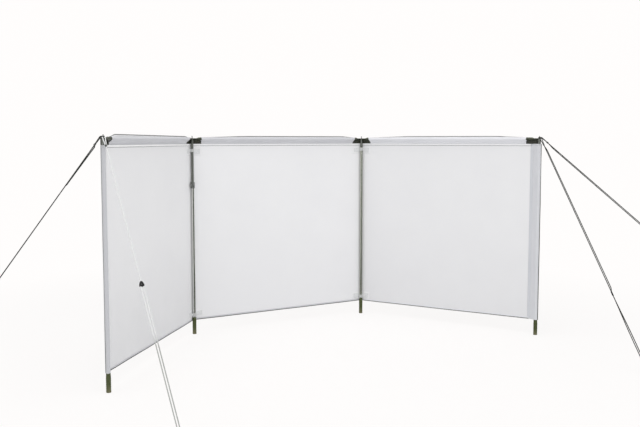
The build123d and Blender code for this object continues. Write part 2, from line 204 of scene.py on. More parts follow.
def woven(name, light, dark, thread=0.9 * MM, crinkle=0.5 * MM, hem_shade=0.0):
    """Plain-woven cloth: threads both ways, soft crinkles, faint uneven colour and a painted shade, in patches,
    towards its hem.
    """
    finish = material, tree, shader = new_finish(name)
    laid = laid_coordinates(tree)
    mottle = speckle(tree, laid, 3.2, 4.0, 0.6)
    slub = speckle(tree, mapped(tree, laid, Scale=(14.0, 420.0, 1.0)), 1.0, 2.0)
    colour = colour_mix(tree, mottle, light, dark)
    colour = colour_mix(tree, value_mix(tree, slub, 0.0, 0.22), colour, dark)
    # Painted shade: the cloth darkens, in patches, towards its hem.
    if hem_shade:
        height = one_way(tree, object_coordinates(tree), "Z")
        reach = ranged(tree, height, hem_level, hem_level + hem_shade_reach, 1.0, 0.0)
        patches = value_mix(tree, speckle(tree, laid, 2.1, 5.0), 0.3, 1.5)
        hem_shade_colour = (*[channel * (1 - hem_shade) for channel in dark[:3]], 1.0)
        colour = colour_mix(tree, worked(tree, "MULTIPLY", reach, patches), colour, hem_shade_colour)
    threads = worked(tree, "ADD", bands(tree, laid, "X", thread), bands(tree, laid, "Y", thread))
    creased = bump(tree, speckle(tree, laid, 16.0, 4.0, 0.5), crinkle)
    return finished(finish, colour, bump(tree, threads, 0.1 * MM, 0.6, creased), value_mix(tree, mottle, 0.77, 0.9),
                    {"Sheen Weight": 0.25, "Sheen Roughness": 0.5, "Specular IOR Level": 0.25})


def webbing_finish(name, light, dark, rib=2.4 * MM, middle_colour=None):
    """Narrow ribbed webbing, its ribs across the strap; with a middle colour, it is that colour about the middle of
    its run.
    """
    finish = material, tree, shader = new_finish(name)
    laid = laid_coordinates(tree)
    weave = worked(tree, "MULTIPLY", bands(tree, laid, "X", rib), bands(tree, laid, "Y", rib * 0.6))
    worn = speckle(tree, laid, 60.0, 5.0)
    colour = colour_mix(tree, weave, dark, light)
    colour = colour_mix(tree, value_mix(tree, worn, 0.0, 0.35), colour, dark)
    if middle_colour:
        from_middle = worked(tree, "ABSOLUTE", one_way(tree, laid, "X"))
        colour = colour_mix(tree, ranged(tree, from_middle, middle_from, middle_to, 0.85, 0.0), colour, middle_colour)
    return finished(finish, colour, bump(tree, weave, 0.25 * MM), value_mix(tree, worn, 0.6, 0.85),
                    {"Sheen Weight": 0.2})


def netting(name, cord_shade, gap_shade, fleck_shade, pitch=4.0 * MM):
    """Dark coated scrim: a fine open lattice with paler olive flecks."""
    finish = material, tree, shader = new_finish(name)
    laid = laid_coordinates(tree)
    lattice = worked(tree, "MAXIMUM", bands(tree, laid, "X", pitch), bands(tree, laid, "Y", pitch))
    flecks = speckle(tree, laid, 90.0, 6.0, 0.7)
    body = colour_mix(tree, lattice, gap_shade, cord_shade)
    colour = colour_mix(tree, ranged(tree, flecks, 0.5, 0.72), body, fleck_shade)
    return finished(finish, colour, bump(tree, lattice, 0.3 * MM), value_mix(tree, flecks, 0.45, 0.75), {})


def braided(name, light, dark, pitch=7.0 * MM, lower_colour=None):
    """Braided cord: two sets of strands that cross round it, with a darker colour between them.

    Given a lower colour, a cord turns to that colour below a level, towards the ground."""
    finish = material, tree, shader = new_finish(name)
    laid = laid_coordinates(tree)
    rows = [mapped(tree, laid, Rotation=(0, 0, radians(turn))) for turn in braid_turns]
    braid = worked(tree, "MAXIMUM", *[bands(tree, row, "X", pitch * 0.42) for row in rows])
    worn = speckle(tree, laid, 45.0, 4.0)
    colour = colour_mix(tree, braid, dark, light)
    colour = colour_mix(tree, value_mix(tree, worn, 0.0, 0.4), colour, dark)
    if lower_colour:
        level = one_way(tree, object_coordinates(tree), "Z")
        colour = colour_mix(tree, ranged(tree, level, lower_colour_from, lower_colour_to, 0.95, 0.0), colour, lower_colour)
    return finished(finish, colour, bump(tree, braid, 0.35 * MM), value_mix(tree, worn, 0.6, 0.85),
                    {"Specular IOR Level": 0.2})


def steel(name, light, dark, turn=None, metal=1.0, roughness=0.34):
    """Galvanised steel: a drawn grain along the piece, cloudy zinc and scuffed patches.

    The grain is upright, or level along the way that turn brings onto x."""
    finish = material, tree, shader = new_finish(name)
    place = object_coordinates(tree)
    if turn is None:
        drawn = mapped(tree, place, Scale=(900.0, 900.0, 14.0))
    else:
        drawn = mapped(tree, mapped(tree, place, Rotation=(0, 0, turn)), Scale=(14.0, 900.0, 900.0))
    lines = speckle(tree, drawn, 1.0, 3.0, 0.6)
    clouds = speckle(tree, place, 24.0, 5.0, 0.6)
    scuffs = ranged(tree, speckle(tree, place, 7.0, 6.0, 0.7), 0.56, 0.7)
    body = colour_mix(tree, clouds, light, dark)
    colour = colour_mix(tree, value_mix(tree, lines, 0.0, 0.45), body, dark)
    return finished(finish, colour, bump(tree, lines, 0.05 * MM, 0.5),
                    value_mix(tree, scuffs, roughness, roughness + 0.12), {"Metallic": metal})


def moulded(name, light, dark, roughness=0.5, dusty=None):
    """Moulded plastic: fine spark grain, slight marbling, and dust near the ground."""
    finish = material, tree, shader = new_finish(name)
    place = object_coordinates(tree)
    fine = speckle(tree, place, 1400.0, 2.0)
    marbled = speckle(tree, place, 55.0, 5.0, 0.6)
    colour = colour_mix(tree, marbled, light, dark)
    if dusty is not None:
        low = ranged(tree, one_way(tree, place, "Z"), 0.0, dust_reach, 0.7, 0.0)
        colour = colour_mix(tree, worked(tree, "MULTIPLY", low, speckle(tree, place, 160.0, 5.0)), colour, dusty)
    return finished(finish, colour, bump(tree, fine, 0.12 * MM, 0.5),
                    value_mix(tree, marbled, roughness - 0.08, roughness + 0.12), {"Specular IOR Level": 0.3})


# Per bay, the cloth's tone and its painted shade towards the hem differ: one cloth, made darker where a bay gets less
# light.
cloth_finishes = [woven(f"stretched_cloth_{name}", shade(tone - 1, tone - 1, tone),
                        shade(tone - 7, tone - 7, tone - 5), hem_shade=hem_shade)
                  for name, tone, hem_shade in zip(bay_names, (234, 234, 231), (0.1, 0.01, 0.04))]
# The sleeve cloth's tone per bay is painted light and shade: one cloth, made lighter or darker to match how each
# bay's sleeve is lit.
sleeve_finishes = [woven(f"sleeve_cloth_{name}", shade(tone, tone, tone + 4), shade(tone - 9, tone - 8, tone - 3),
                         crinkle=0.8 * MM) for name, tone in zip(bay_names, (206, 207, 228))]
# The pockets' tones per side are painted shade: one cloth, each side made darker to match how it is lit.
pocket_finishes = [woven(f"pocket_cloth_{name}", shade(tone, tone + 1, tone + 4),
                         shade(tone - 10, tone - 9, tone - 4), crinkle=0.9 * MM)
                   for name, tone in (("left", 196), ("right", 212))]
# The seam band is painted light: paler than the cloth to lift the shade that the sleeve casts on it; the left bay's
# copy is paler still for the less light that bay gets.
seam_band_lit_finish = woven("seam_band", shade(243, 243, 244), shade(235, 235, 237))
left_seam_band_lit_finish = woven("seam_band_left", shade(254, 254, 254), shade(250, 250, 251))
tape_finish = woven("seam_tape", shade(208, 209, 213), shade(196, 198, 204), thread=1.2 * MM)
patch_tape_finish = woven("strap_patch", shade(236, 236, 237), shade(228, 228, 230), thread=1.2 * MM)
edging_finishes = [webbing_finish(f"grey_edging_{name}", shade(tone, tone + 2, tone),
                                  shade(tone - 30, tone - 28, tone - 32), rib=1.8 * MM)
                   for name, tone in zip(bay_names, (66, 114, 130))]
# The pocket pipings' dark colours are painted shade along the outer edges of the pockets.
olive_shade_piping = webbing_finish("olive_piping", shade(72, 76, 58), shade(48, 52, 38), rib=1.8 * MM)
pale_shade_piping = webbing_finish("pale_piping", shade(134, 135, 136), shade(102, 103, 104), rib=1.8 * MM)
# The top piping's dark grey is painted shade along the crest of the sleeve.
crest_shade_piping = webbing_finish("top_piping", shade(80, 82, 82), shade(56, 58, 58), rib=1.8 * MM)
# The welt's grey is painted shade: the shadow line along the lower edge of the seam band.
seam_shade_welt = webbing_finish("seam_welt", shade(152, 153, 156), shade(118, 119, 122), rib=1.4 * MM)
thread_finish = webbing_finish("sewing_thread", shade(206, 206, 208), shade(176, 177, 180), rib=0.6 * MM)
dark_thread_finish = webbing_finish("grey_thread", shade(196, 197, 199), shade(164, 165, 167), rib=0.6 * MM)
strap_finish = webbing_finish("strap_webbing", shade(240, 240, 241), shade(214, 215, 216),
                              middle_colour=shade(176, 177, 176))
scrim_finish = netting("corner_scrim", shade(44, 46, 38), shade(22, 23, 18), shade(92, 98, 70))
# The dark and pale cords are shaded and lit copies of one cord: their difference is painted light and shade.
shaded_cord_finish = braided("shaded_guy_cord", shade(60, 62, 58), shade(30, 32, 29))
lit_cord_finish = braided("lit_guy_cord", shade(240, 240, 239), shade(198, 200, 202), lower_colour=shade(168, 170, 166))
tube_finish = steel("galvanised_tube", shade(234, 235, 232), shade(206, 208, 204), roughness=0.2)
# A darker copy of the galvanised steel for upright 3: painted shade.
shaded_tube_finish = steel("shaded_tube", shade(200, 202, 193), shade(172, 175, 165), roughness=0.22)
upper_tube_finish = steel("dull_tube", shade(140, 142, 138), shade(112, 115, 109), roughness=0.38)
# The rails' dark olive is painted shade and a painted reflection of dark ground, where the rail shows at the corners.
shaded_rail_finishes = [steel(f"shaded_rail_{name}", shade(92, 96, 82), shade(66, 70, 58), turn=-headings[bay], metal=0.6,
                       roughness=0.42) for bay, name in enumerate(bay_names)]
bare_steel_finish = steel("bright_steel", shade(196, 196, 194), shade(164, 164, 161), roughness=0.26)
foot_finish = moulded("olive_foot", shade(82, 90, 54), shade(56, 62, 33), 0.55, dusty=shade(150, 140, 112))
nylon_finish = moulded("grey_nylon", shade(92, 94, 92), shade(70, 72, 70), 0.42)
clamp_finish = moulded("grey_clamp", shade(122, 124, 122), shade(96, 98, 96), 0.42)
runner_finish = moulded("black_runner", shade(20, 20, 22), shade(11, 11, 12), 0.5)


# ---------------------------------------------------------------- making pieces

def as_mesh(name, made):
    mesh = bpy.data.meshes.new(name)
    made.to_mesh(mesh)
    made.free()
    return mesh


def linked(name, data):
    thing = bpy.data.objects.new(name, data)
    scene.collection.objects.link(thing)
    return thing


def to_piece(name, made, finish, replaces=(), smooth_below=40, wall=0.0):
    """Ends a bmesh as a named piece of the windbreak."""
    mesh = as_mesh(name, made)
    mesh.materials.append(finish)
    mesh.shade_smooth()
    mesh.set_sharp_from_angle(angle=radians(smooth_below))
    piece = linked(name, mesh)
    if wall:
        thickness = piece.modifiers.new("wall", "SOLIDIFY")
        thickness.thickness = wall
        thickness.offset = 0.0
        thickness.use_even_offset = True
    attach(piece, "root")
    if replaces:
        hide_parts(*replaces)
    return piece


def laid_grid(columns, rows, place, target=None):
    """Lays a grid of faces: place(u, v), of 0 to 1 each way, gives a corner's point and its metres of cloth."""
    made = bmesh.new() if target is None else target
    layer = made.loops.layers.uv.get("metres") or made.loops.layers.uv.new("metres")
    new = bmesh.ops.create_grid(made, x_segments=columns, y_segments=rows, size=0.5)["verts"]
    laid = {}
    for vertex in new:
        point, metres = place(vertex.co.x + 0.5, vertex.co.y + 0.5)
        vertex.co = point
        laid[vertex] = metres
    for face in {face for vertex in new for face in vertex.link_faces}:
        for loop in face.loops:
            loop[layer].uv = laid[loop.vert]
    return made


def close_up(made, distance=0.02 * MM):
    """Welds the seams, closes open ends and turns every face outwards."""
    bmesh.ops.remove_doubles(made, verts=made.verts[:], dist=distance)
    bmesh.ops.holes_fill(made, edges=[edge for edge in made.edges if edge.is_boundary], sides=0)
    bmesh.ops.recalc_face_normals(made, faces=made.faces[:])
    return made


def lengths_along(points):
    total = [0.0]
    for first, second in zip(points, points[1:]):
        total.append(total[-1] + (second - first).length)
    return total


def ways_along(points):
    last = len(points) - 1
    return [(points[min(i + 1, last)] - points[max(i - 1, 0)]).normalized() for i in range(last + 1)]


def evenly(first, last, count):
    """Points or numbers at even steps from the first to the last."""
    return [first + (last - first) * i / count for i in range(count + 1)]


def step_at(line, v):
    """The number of the point that lies this share along a line."""
    return round(v * (len(line) - 1))


def smooth_line(corners):
    """The points of one smooth curve drawn by these control points."""
    data = bpy.data.curves.new("route", "CURVE")
    data.dimensions = "3D"
    spline = data.splines.new("NURBS")
    spline.points.add(len(corners) - 1)
    for point, corner in zip(spline.points, corners):
        point.co = (*corner, 1.0)
    spline.order_u = 3
    spline.use_endpoint_u = True
    spline.resolution_u = 8
    holder = bpy.data.objects.new("route", data)
    mesh = bpy.data.meshes.new_from_object(holder)
    points = [vertex.co.copy() for vertex in mesh.vertices]
    bpy.data.meshes.remove(mesh)
    bpy.data.objects.remove(holder)
    bpy.data.curves.remove(data)
    kept = [points[0]]
    for point in points[1:]:
        if (point - kept[-1]).length > 0.05 * MM:
            kept.append(point)
    return kept


def round_bar(target, points, radius, sides=12):
    """A round bar or cord along a line of points, closed at both ends."""
    made = bmesh.new()
    total = lengths_along(points)
    ways = ways_along(points)
    side = ways[0].orthogonal().normalized()
    sides_of = []
    for way in ways:
        side = (side - way * side.dot(way)).normalized()
        sides_of.append((side, way.cross(side)))

    def place(u, v):
        step = step_at(points, u)
        first, second = sides_of[step]
        turn = 2 * pi * v
        return points[step] + (first * cos(turn) + second * sin(turn)) * radius, (total[step], v * 2 * pi * radius)

    laid_grid(len(points) - 1, sides, place, made)
    return join(target, close_up(made))


def piping(points, outwards, radius, flange):
    """Cord sewn into a folded strip that stands out from a seam: points on the cord, and the way it stands."""
    made = bmesh.new()
    total = lengths_along(points)
    ways = ways_along(points)
    neck = 0.55 * MM
    section = [(neck, -flange), (neck, -radius)]
    section += [(radius * sin(turn), -radius * cos(turn)) for turn in [radians(30 * i) for i in range(1, 12)]]
    section += [(-neck, -radius), (-neck, -flange)]

    def place(u, v):
        step = step_at(points, u)
        corner = round(v * len(section)) % len(section)
        stand = (outwards[step] - ways[step] * outwards[step].dot(ways[step])).normalized()
        side = ways[step].cross(stand)
        across, out = section[corner]
        return points[step] + side * across + stand * out, (total[step], corner * 1.0 * MM)

    return close_up(laid_grid(len(points) - 1, len(section), place, made))


def join(target, made):
    """Adds one bmesh to another and frees it."""
    mesh = as_mesh("part", made)
    target.from_mesh(mesh)
    bpy.data.meshes.remove(mesh)
    return target


def turned(target, profile, matrix, steps=36):
    """Spins a profile of (radius, height) points about the z axis of a matrix."""
    made = bmesh.new()
    vertices = [made.verts.new((radius, 0, height)) for radius, height in profile]
    edges = [made.edges.new(pair) for pair in zip(vertices, vertices[1:])]
    bmesh.ops.spin(made, geom=vertices + edges, axis=(0, 0, 1), cent=(0, 0, 0), steps=steps, angle=2 * pi,
                   use_merge=True)
    bmesh.ops.remove_doubles(made, verts=made.verts[:], dist=0.01 * MM)
    bmesh.ops.recalc_face_normals(made, faces=made.faces[:])
    made.transform(matrix)
    return join(target, made)


def pointing(origin, way, across=None):
    """A frame at a point whose z axis points this way."""
    z = Vector(way).normalized()
    x = Vector(across) if across is not None else z.orthogonal()
    x = (x - z * x.dot(z)).normalized()
    y = z.cross(x)
    return Matrix(((x.x, y.x, z.x, origin[0]), (x.y, y.y, z.y, origin[1]), (x.z, y.z, z.z, origin[2]), (0, 0, 0, 1)))


def softened(name, node, finish, edge=0.6 * MM, segments=2, sharper_than=28):
    """A copy of a rigid CAD piece with its sharp edges rounded over."""
    made = bmesh.new()
    made.from_mesh(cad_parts[node].data)
    bmesh.ops.remove_doubles(made, verts=made.verts[:], dist=0.01 * MM)
    bmesh.ops.dissolve_limit(made, angle_limit=radians(1.0), verts=made.verts[:], edges=made.edges[:])
    sharp = [e for e in made.edges if len(e.link_faces) == 2 and e.calc_face_angle(0.0) > radians(sharper_than)]
    bmesh.ops.bevel(made, geom=sharp, offset=edge, offset_type="OFFSET", affect="EDGES", segments=segments,
                    profile=0.5, material=-1, clamp_overlap=True)
    return to_piece(name, made, finish, (node,))


def stitches(name, seams, finish=None, length=3.4 * MM, gap=1.8 * MM, thickness=0.42 * MM):
    """Rows of single stitches: each seam is a line of points with the way that its face looks."""
    stitched = bmesh.new()
    one = bmesh.new()
    one.loops.layers.uv.new("metres")
    for end in (1, -1):
        half = Matrix.Diagonal((1.0, 1.0, end, 1.0)) @ Matrix.Translation((0, 0, length / 4))
        bmesh.ops.create_cone(one, cap_ends=False, segments=5, radius1=thickness, radius2=thickness * 0.15,
                              depth=length / 2, matrix=half)
    close_up(one, 0.005 * MM)
    stitch = as_mesh("stitch", one)
    for points, way in seams:
        total = lengths_along(points)
        count = max(1, int(total[-1] / (length + gap)))
        pitch = total[-1] / count
        leg = 0
        for number in range(count):
            at = (number + 0.5) * pitch
            while leg < len(points) - 2 and total[leg + 1] < at:
                leg += 1
            run = (points[leg + 1] - points[leg]).normalized()
            middle_point = points[leg] + run * (at - total[leg])
            seat = pointing(middle_point + Vector(way) * thickness * 0.35, run, way)
            stitch.transform(seat)
            stitched.from_mesh(stitch)
            stitch.transform(seat.inverted())
    bpy.data.meshes.remove(stitch)
    return to_piece(name, stitched, finish or thread_finish, smooth_below=60)


# ---------------------------------------------------------------- the stretched cloth

belly = 7 * MM             # how far the middle of a bay stands out
fold_round = 20 * MM       # how the cloth is rounded where it turns at a middle upright
cloth_start = 2 * MM       # the cloth starts this far up inside its hem
# How far a bay has settled below its hem line: at its left end, at its right end, and more in between.
settled = ((4.0 * MM, 16.0 * MM, 5.0 * MM), (12.0 * MM, 8.0 * MM, 2.5 * MM), (8.0 * MM, 2.0 * MM, 2.5 * MM))
cloth_ends = []
for bay in range(3):
    left = pocket_seam - tuck if bay == 0 else -tan(half_folds[bay]) * cloth_y
    right = bay_length - (pocket_seam - tuck) if bay == 2 else bay_length + tan(half_folds[bay + 1]) * cloth_y
    cloth_ends.append((left, right))


def eased(value):
    """0 to 1 with a soft start and stop."""
    value = min(max(value, 0.0), 1.0)
    return value * value * (3 - 2 * value)


def drift(*place):
    """A smooth wander about nought, always the same at the same place."""
    return noise.noise(Vector(place))


def mirrored(side, along):
    """A distance from an end of a bay as x in that bay: side 0 is its left end, side 1 its right."""
    return along if side == 0 else bay_length - along


def stand_off(bay, x, z):
    """How far the cloth stands out of its flat plane: a slight belly, ripples, puckers and rounded folds."""
    left, right = cloth_ends[bay]
    u = (x - left) / (right - left)
    v = min(max((z - hem_level) / (cloth_top - hem_level), 0.0), 1.0)
    from_end = min(x - left, right - x)
    free = eased((from_end - 0.06) / 0.3)
    below_seam = cloth_top - z
    above_hem = z - hem_level
    # The tuck lies flat inside the sleeve and the corner patches, free of puckers.
    free_of_tuck = eased(below_seam / (4 * MM))
    depth = belly * sin(pi * min(max(u, 0), 1)) * (1 - v ** 2.4) * free
    ripple = drift(x * 2.3, z * 1.5, 3.7 * bay) * 3.2 * MM
    slow = drift(x * 5.5 + z * 1.2, z * 2.2, 5.1 + bay) * 1.3 * MM
    depth += (ripple + slow) * free * eased(below_seam / 0.3)
    pucker = drift(x * 34, z * 4, 9.3 + bay) * 0.9 * MM
    near_seams = exp(-max(below_seam, 0) / 0.035) + 0.8 * exp(-max(above_hem, 0) / 0.03)
    depth += pucker * near_seams * eased(from_end / 0.05) * free_of_tuck
    for side in (0, 1):
        if bay + side in ends:
            continue
        along = max(((x - left) if side == 0 else (right - x)) - strap_cover, 0.0)
        for level in strap_levels:
            away = hypot(along, z - level)
            spoke = sin(9 * atan2(z - level, along + 0.02))
            depth += 0.9 * MM * spoke * exp(-away / 0.16) * eased(along / 0.05) * free_of_tuck
    for side in (0, 1):
        half = half_folds[bay + side]
        if half:
            reach = fold_round * tan(half)
            across = (x - left) if side == 0 else (right - x)
            if across < reach:
                depth -= (reach - across) ** 2 * tan(half) / (2 * reach)
    return depth


def droop(bay, x, z):
    """How far the cloth has settled below its hem line between the uprights, less towards its top."""
    left, right = cloth_ends[bay]
    u = min(max((x - left) / (right - left), 0.0), 1.0)
    first, last, more = settled[bay]
    v = min(max((z - hem_level) / (cloth_top - hem_level), 0.0), 1.0)
    return (first + (last - first) * u + more * sin(pi * u)) * (1 - v) ** 3


def on_cloth(bay, x, z, lift=0.0):
    """A point on the cloth of a bay, lifted to its outer side, or to its inner side if lift is negative."""
    return in_bay(bay, x, cloth_y + stand_off(bay, x, z) + lift, z - droop(bay, x, z))


strap_nodes = [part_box("post_2_straps"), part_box("post_3_straps")]
strap_height = 38 * MM
strap_cover = 0.07         # the cloth is flat this far from the fold, under the strap
strap_levels = (strap_nodes[0][1].z - strap_height / 2, strap_nodes[0][0].z + strap_height / 2)


def inner_side(bay):
    return bays[bay].to_3x3() @ Vector((0, -1, 0))


def crowded(u, share=0.12):
    """Draws the lines of a grid closer together near both ends of a bay."""
    return u - share * sin(2 * pi * u) / (2 * pi) * 6.0


cloth_trims = [[], [], []]
for bay, name in enumerate(bay_names):
    left, right = cloth_ends[bay]

    def place(u, v):
        x = left + (right - left) * crowded(u)
        z = hem_level + cloth_start + (cloth_top + tuck - hem_level - cloth_start) * (v - 0.04 * sin(2 * pi * v))
        return on_cloth(bay, x, z), (x, z)

    made = laid_grid(150, 100, place)
    to_piece(f"cloth_{name}", made, cloth_finishes[bay], (f"panel_{name}",),
                                 wall=cloth_wall)

# Bottom edge: a turned-up hem, a narrow edging folded round it, and a row of stitches.
hem_height = 14 * MM
hem_columns = 220
for bay, name in enumerate(bay_names):
    left, right = cloth_ends[bay]

    def hem_place(u, v, height=hem_height, half=1.0 * MM, low=0.6 * MM):
        x = left + (right - left) * u
        around = v * (2 * height + pi * half)
        if around < height:
            y, z = -half, height - around
        elif around > height + pi * half:
            y, z = half, around - height - pi * half
        else:
            turn = (around - height) / half
            y, z = -half * cos(turn), -half * sin(turn)
        return on_cloth(bay, x, hem_level + low + half + max(z, 0), y) + Vector((0, 0, min(z, 0))), (x, around)

    made = laid_grid(hem_columns, 16, hem_place)
    cloth_trims[bay].append(to_piece(f"hem_{name}", made, sleeve_finishes[bay], wall=thin_wall))

    def edging_place(u, v):
        return hem_place(u, v, height=5 * MM, half=1.35 * MM, low=-0.2 * MM)

    made = laid_grid(hem_columns, 14, edging_place)
    cloth_trims[bay].append(to_piece(f"hem_edging_{name}", made, edging_finishes[bay], wall=trim_wall))
    rows = []
    for side in (-1, 1):
        z = hem_level + hem_height - 2.5 * MM
        line = [on_cloth(bay, x, z, side * 1.25 * MM) for x in evenly(left, right, 120)]
        rows.append((line, inner_side(bay) * -side))
    cloth_trims[bay].append(stitches(f"hem_stitches_{name}", rows))


# Top edge: a turned-down band on both sides, with a welt and stitches along its lower edge.
band_height = 14 * MM
for bay, name in enumerate(bay_names):
    left, right = cloth_ends[bay]
    made = bmesh.new()
    welts = bmesh.new()
    rows = []
    for side in (-1, 1):
        def band_place(u, v):
            x = left + (right - left) * u
            z = cloth_top - band_height + (band_height - 0.5 * MM) * v
            return on_cloth(bay, x, z, side * (cloth_wall / 2 + 0.3 * MM)), (x, z)

        laid_grid(200, 4, band_place, made)
        line = [on_cloth(bay, x, cloth_top - band_height, side * 0.9 * MM) for x in evenly(left, right, 160)]
        round_bar(welts, line, 1.2 * MM, 8)
        line = [point + Vector((0, 0, 3.0 * MM)) for point in line]
        rows.append((line, inner_side(bay) * -side))
    # The band's paleness is painted light.
    cloth_trims[bay].append(to_piece(f"seam_band_{name}", made, seam_band_lit_finish if bay else left_seam_band_lit_finish,
                                     wall=thin_wall))
    # The welt's grey is painted shade along the seam.
    cloth_trims[bay].append(to_piece(f"seam_welt_{name}", welts, seam_shade_welt))
    cloth_trims[bay].append(stitches(f"band_stitches_{name}", rows))


# ---------------------------------------------------------------- sleeves over the rails

sleeve_slant = 10 * MM
sleeve_round = rail_radius + 0.3 * MM + 0.6 * MM
binding_lift = 0.7 * MM    # a turned binding lies this far over the cloth that it ends
seam_face = 1.35 * MM      # from the middle of a sewn seam to its face
piping_flange = 1.2 * MM


def tangent_from(point, radius, side):
    """Where a line from an outside point touches a circle at the origin; side picks which of the two."""
    distance = hypot(*point)
    bearing = atan2(point[1], point[0])
    opening = side * pi / 2 - side * atan2(radius, (distance ** 2 - radius ** 2) ** 0.5)
    return bearing + opening


def wrapped_section(flat_end, flat_start, offset, radius, lift=0.0):
    """Outline of cloth drawn round a tube from a flat seam: straight, round the far side, and back.

    Distances are from the tube: the seam lies offset beside its axis, and from flat_start to flat_end away."""
    gap = 0.9 * MM + lift
    radius = radius + lift
    near = (flat_start, offset - gap)
    far = (flat_start, offset + gap)
    first = tangent_from(near, radius, -1)
    last = tangent_from(far, radius, 1)
    points = [(flat_end, offset - gap), ((flat_end + flat_start) / 2, offset - gap), near]
    touch = (radius * cos(first), radius * sin(first))
    points += [(near[0] + (touch[0] - near[0]) * i / 6, near[1] + (touch[1] - near[1]) * i / 6) for i in range(1, 6)]
    span = (first - last) % (2 * pi)
    points += [(radius * cos(first - span * i / 20), radius * sin(first - span * i / 20)) for i in range(21)]
    touch = (radius * cos(last), radius * sin(last))
    points += [(touch[0] + (far[0] - touch[0]) * i / 6, touch[1] + (far[1] - touch[1]) * i / 6) for i in range(1, 6)]
    points += [far, ((flat_end + flat_start) / 2, offset + gap), (flat_end, offset + gap)]
    return points


sleeve_depth = rail_level - seam_level
sleeve_section = wrapped_section(sleeve_depth, sleeve_depth - seam_allowance, cloth_y, sleeve_round)
section_run = lengths_along([Vector(point) for point in sleeve_section])
crest_fades = ((0.05, 0.07), (0.3, 0.1), (0.3, 0.2))
crest_rises = ((13.0 * MM, 4.5 * MM), (7.0 * MM, 7.0 * MM), (7.5 * MM, 7.5 * MM))
piping_radii = (1.9 * MM, 2.0 * MM, 1.6 * MM)
sleeve_trims = [[], [], []]


def sleeve_edge(bay, z, side):
    """Where a sleeve ends at this level; its ends are cut on the slant."""
    low, high = sleeve_boxes[bay]
    drop = sleeve_slant * (screen_top - z) / (screen_top - seam_level)
    return low.x + drop if side == 0 else high.x - drop


def sleeve_point(bay, u, step):
    down, y = sleeve_section[step]
    z = rail_level - down
    first, last = sleeve_edge(bay, z, 0), sleeve_edge(bay, z, 1)
    x = first + (last - first) * u
    free = eased((z - seam_level - seam_allowance * 0.5) / 0.012) * (1 - eased((z - rail_level + 0.012) / 0.012))
    soft = drift(x * 9, z * 30, 2.2 + bay) * 1.0 * MM + drift(x * 32, z * 8, 4.4) * 0.5 * MM
    outwards = 1 if y > cloth_y * 0.5 else -1
    return in_bay(bay, x, y + outwards * free * soft, z), x


for bay, name in enumerate(bay_names):
    def place(u, v):
        step = step_at(sleeve_section, v)
        point, x = sleeve_point(bay, u, step)
        return point, (x, section_run[step])

    made = laid_grid(180, len(sleeve_section) - 1, place)
    to_piece(f"sleeve_{name}", made, sleeve_finishes[bay],
                                  (f"top_sleeve_{name}",), wall=double_wall)

    # Hemmed ends of the sleeve.
    trim = bmesh.new()
    outer_section = wrapped_section(sleeve_depth, sleeve_depth - seam_allowance, cloth_y, sleeve_round, binding_lift)
    for side in (0, 1):
        def end_place(u, v):
            step = step_at(outer_section, v)
            down, y = outer_section[step]
            z = rail_level - down
            x = sleeve_edge(bay, z, side) + (u * 9 * MM - 0.3 * MM) * (1 if side == 0 else -1)
            return in_bay(bay, x, y, z), (x, section_run[step])
        laid_grid(3, len(outer_section) - 1, end_place, trim)
    sleeve_trims[bay].append(to_piece(f"sleeve_ends_{name}", trim, sleeve_finishes[bay],
                                      wall=trim_wall))

    # A narrow fold of the cloth that stands along the crest, with piping in its edge.
    def crest_point(u):
        first, last = sleeve_edge(bay, screen_top, 0), sleeve_edge(bay, screen_top, 1)
        start, finish = crest_rises[bay]
        stand = eased(u / crest_fades[bay][0]) * eased((1 - u) / crest_fades[bay][1])
        x = first + (last - first) * u
        sway = drift(x * 6, 1.1, bay) * 0.6 * MM
        return x, (1 - stand) * 6 * MM + sway, stand * (start + (finish - start) * u) - (1 - stand) * 1.5 * MM

    def fin_place(u, v):
        x, y, rise = crest_point(u)
        foot_z = rail_level + sleeve_round * cos(min(y / sleeve_round, 1.0) * 0.9)
        return in_bay(bay, x, y * (0.4 + 0.6 * v), foot_z + (screen_top + rise - foot_z) * v), (x, v * rise)

    made = laid_grid(120, 4, fin_place)
    sleeve_trims[bay].append(to_piece(f"sleeve_crest_{name}", made, cloth_finishes[bay], wall=0.6 * MM))
    line = [in_bay(bay, x, y, screen_top + rise) for x, y, rise in map(crest_point, evenly(0.0, 1.0, 120))]
    # The piping's dark grey is painted shade along the crest.
    made = piping(line, [Vector((0, 0, 1))] * len(line), piping_radii[bay], piping_radii[bay] + piping_flange)
    sleeve_trims[bay].append(to_piece(f"sleeve_piping_{name}", made, crest_shade_piping))

    # Two rows of stitches through the seam.
    rows = []
    for level in (seam_level + 3 * MM, seam_level + 9 * MM):
        for side in (-1, 1):
            first, last = sleeve_edge(bay, level, 0), sleeve_edge(bay, level, 1)
            line = [in_bay(bay, x, cloth_y + side * seam_face, level) for x in evenly(first, last, 60)]
            rows.append((line, inner_side(bay) * -side))
    sleeve_trims[bay].append(stitches(f"sleeve_stitches_{name}", rows))


# ---------------------------------------------------------------- pockets of the end uprights

pocket_round = tube_radius + 0.9 * MM
pocket_section = wrapped_section(pocket_seam, pocket_seam - seam_allowance, cloth_y, pocket_round)
pocket_run = lengths_along([Vector(point) for point in pocket_section])
pocket_trims = [[], []]
tape_left, tape_right = pocket_seam - 13 * MM, pocket_seam + 8 * MM
end_height = 12 * MM       # height of the binding at the top and the foot of a pocket


